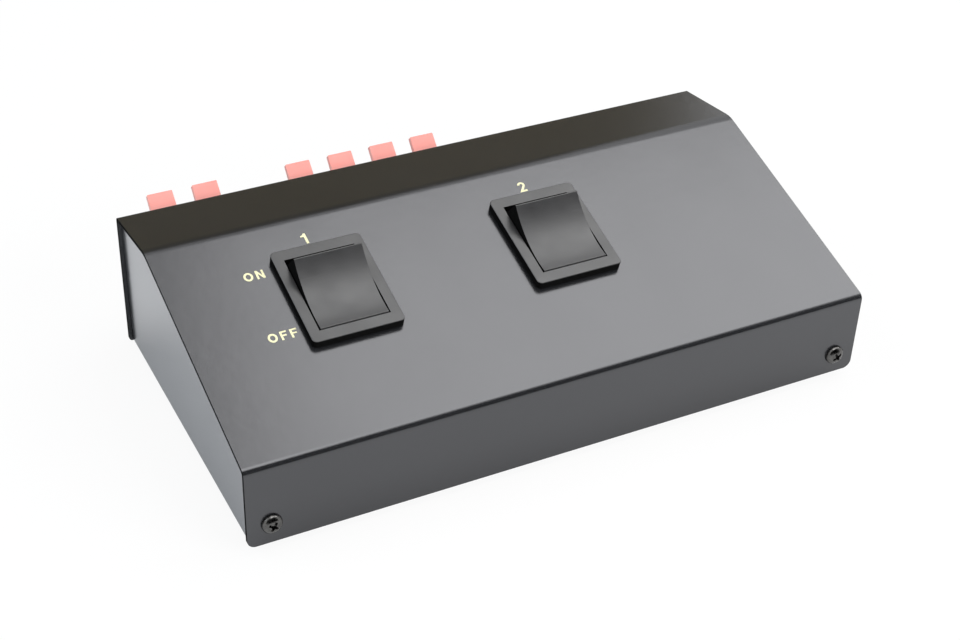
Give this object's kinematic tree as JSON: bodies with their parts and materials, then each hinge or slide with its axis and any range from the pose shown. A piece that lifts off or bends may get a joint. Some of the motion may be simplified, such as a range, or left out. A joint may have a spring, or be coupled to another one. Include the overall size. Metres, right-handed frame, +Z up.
{
  "type": "speaker selector switch",
  "caption": "Sloping-front steel box that switches speaker pairs with rocker switches, with push-lever spring terminals for bare wire on its rear panel.",
  "frame": {"origin": "centre of the whole box on plan, on the plane of the feet's undersides", "axes": "+X along the box to the right seen from the front, +Y from the front to the terminals, +Z up"},
  "size_m": [0.18, 0.1078, 0.0486],
  "materials": {
    "cover_paint": "black powder coat, satin, very fine grain",
    "tray_paint": "black paint, semi-gloss",
    "foot_rubber": "matt black rubber",
    "black_screw": "black oxide",
    "switch_plastic": "moulded black nylon, satin",
    "rocker_plastic": "moulded black nylon, fine spark texture",
    "contact_brass": "bright stamped brass",
    "spring_steel": "plain spring steel",
    "block_plastic": "moulded black plastic",
    "lever_red": "moulded red plastic, slightly glossy",
    "lever_black": "moulded black plastic, slightly glossy"
  },
  "bodies": {
    "root": {"top_cover": "cover_paint", "base_tray": "tray_paint", "foot_front_left": "foot_rubber", "foot_front_right": "foot_rubber", "foot_rear_left": "foot_rubber", "foot_rear_right": "foot_rubber", "cover_screws": "black_screw", "terminal_block_screws": "black_screw", "switch_1_housing": "switch_plastic", "switch_1_common_terminals": "contact_brass", "switch_1_throw_terminals": "contact_brass", "switch_2_housing": "switch_plastic", "switch_2_common_terminals": "contact_brass", "switch_2_throw_terminals": "contact_brass", "input_terminal_block": "block_plastic", "input_clip_springs": "spring_steel", "input_contact_strips": "contact_brass", "output_terminal_block": "block_plastic", "output_clip_springs": "spring_steel", "output_contact_strips": "contact_brass"},
    "rocker_1": {"switch_1_rocker": "rocker_plastic", "switch_1_plungers": "contact_brass", "switch_1_springs": "spring_steel"},
    "contact_blades_1": {"switch_1_contact_blades": "contact_brass"},
    "rocker_2": {"switch_2_rocker": "rocker_plastic", "switch_2_plungers": "contact_brass", "switch_2_springs": "spring_steel"},
    "contact_blades_2": {"switch_2_contact_blades": "contact_brass"},
    "input_red_lever_1": {"input_red_lever_1": "lever_red"},
    "input_red_lever_2": {"input_red_lever_2": "lever_red"},
    "input_black_lever_1": {"input_black_lever_1": "lever_black"},
    "input_black_lever_2": {"input_black_lever_2": "lever_black"},
    "output_red_lever_1": {"output_red_lever_1": "lever_red"},
    "output_red_lever_2": {"output_red_lever_2": "lever_red"},
    "output_red_lever_3": {"output_red_lever_3": "lever_red"},
    "output_red_lever_4": {"output_red_lever_4": "lever_red"},
    "output_black_lever_1": {"output_black_lever_1": "lever_black"},
    "output_black_lever_2": {"output_black_lever_2": "lever_black"},
    "output_black_lever_3": {"output_black_lever_3": "lever_black"},
    "output_black_lever_4": {"output_black_lever_4": "lever_black"}
  },
  "joints": [
    {"name": "rocker_1_tilt", "type": "hinge", "parent": "root", "child": "rocker_1", "pos_m": [-0.0475, -0.00721, 0.03595], "axis": [-1, 0, 0], "range_deg": [0, 29.8]},
    {"name": "contact_blades_1_tilt", "type": "hinge", "parent": "root", "child": "contact_blades_1", "pos_m": [-0.0475, -0.00464, 0.02686], "axis": [-1, 0, 0], "range_deg": [-16, 0]},
    {"name": "rocker_2_tilt", "type": "hinge", "parent": "root", "child": "rocker_2", "pos_m": [0.0165, -0.00721, 0.03595], "axis": [-1, 0, 0], "range_deg": [0, 29.8]},
    {"name": "contact_blades_2_tilt", "type": "hinge", "parent": "root", "child": "contact_blades_2", "pos_m": [0.0165, -0.00464, 0.02686], "axis": [-1, 0, 0], "range_deg": [-16, 0]},
    {"name": "input_red_lever_1_press", "type": "hinge", "parent": "root", "child": "input_red_lever_1", "pos_m": [-0.07475, 0.04561, 0.0334], "axis": [-1, 0, 0], "range_deg": [0, 28], "stiffness_Nm_per_rad": 0.01, "springref_deg": -28.65},
    {"name": "input_red_lever_2_press", "type": "hinge", "parent": "root", "child": "input_red_lever_2", "pos_m": [-0.06175, 0.04561, 0.0334], "axis": [-1, 0, 0], "range_deg": [0, 28], "stiffness_Nm_per_rad": 0.01, "springref_deg": -28.65},
    {"name": "input_black_lever_1_press", "type": "hinge", "parent": "root", "child": "input_black_lever_1", "pos_m": [-0.07475, 0.04561, 0.0168], "axis": [-1, 0, 0], "range_deg": [0, 28], "stiffness_Nm_per_rad": 0.01, "springref_deg": -28.65},
    {"name": "input_black_lever_2_press", "type": "hinge", "parent": "root", "child": "input_black_lever_2", "pos_m": [-0.06175, 0.04561, 0.0168], "axis": [-1, 0, 0], "range_deg": [0, 28], "stiffness_Nm_per_rad": 0.01, "springref_deg": -28.65},
    {"name": "output_red_lever_1_press", "type": "hinge", "parent": "root", "child": "output_red_lever_1", "pos_m": [-0.0339, 0.04561, 0.0334], "axis": [-1, 0, 0], "range_deg": [0, 28], "stiffness_Nm_per_rad": 0.01, "springref_deg": -28.65},
    {"name": "output_red_lever_2_press", "type": "hinge", "parent": "root", "child": "output_red_lever_2", "pos_m": [-0.0209, 0.04561, 0.0334], "axis": [-1, 0, 0], "range_deg": [0, 28], "stiffness_Nm_per_rad": 0.01, "springref_deg": -28.65},
    {"name": "output_red_lever_3_press", "type": "hinge", "parent": "root", "child": "output_red_lever_3", "pos_m": [-0.0079, 0.04561, 0.0334], "axis": [-1, 0, 0], "range_deg": [0, 28], "stiffness_Nm_per_rad": 0.01, "springref_deg": -28.65},
    {"name": "output_red_lever_4_press", "type": "hinge", "parent": "root", "child": "output_red_lever_4", "pos_m": [0.0051, 0.04561, 0.0334], "axis": [-1, 0, 0], "range_deg": [0, 28], "stiffness_Nm_per_rad": 0.01, "springref_deg": -28.65},
    {"name": "output_black_lever_1_press", "type": "hinge", "parent": "root", "child": "output_black_lever_1", "pos_m": [-0.0339, 0.04561, 0.0168], "axis": [-1, 0, 0], "range_deg": [0, 28], "stiffness_Nm_per_rad": 0.01, "springref_deg": -28.65},
    {"name": "output_black_lever_2_press", "type": "hinge", "parent": "root", "child": "output_black_lever_2", "pos_m": [-0.0209, 0.04561, 0.0168], "axis": [-1, 0, 0], "range_deg": [0, 28], "stiffness_Nm_per_rad": 0.01, "springref_deg": -28.65},
    {"name": "output_black_lever_3_press", "type": "hinge", "parent": "root", "child": "output_black_lever_3", "pos_m": [-0.0079, 0.04561, 0.0168], "axis": [-1, 0, 0], "range_deg": [0, 28], "stiffness_Nm_per_rad": 0.01, "springref_deg": -28.65},
    {"name": "output_black_lever_4_press", "type": "hinge", "parent": "root", "child": "output_black_lever_4", "pos_m": [0.0051, 0.04561, 0.0168], "axis": [-1, 0, 0], "range_deg": [0, 28], "stiffness_Nm_per_rad": 0.01, "springref_deg": -28.65}
  ],
  "couplings": [
    {"joint": "contact_blades_1_tilt", "follows": "rocker_1_tilt", "ratio": -0.536},
    {"joint": "contact_blades_2_tilt", "follows": "rocker_2_tilt", "ratio": -0.536}
  ]
}
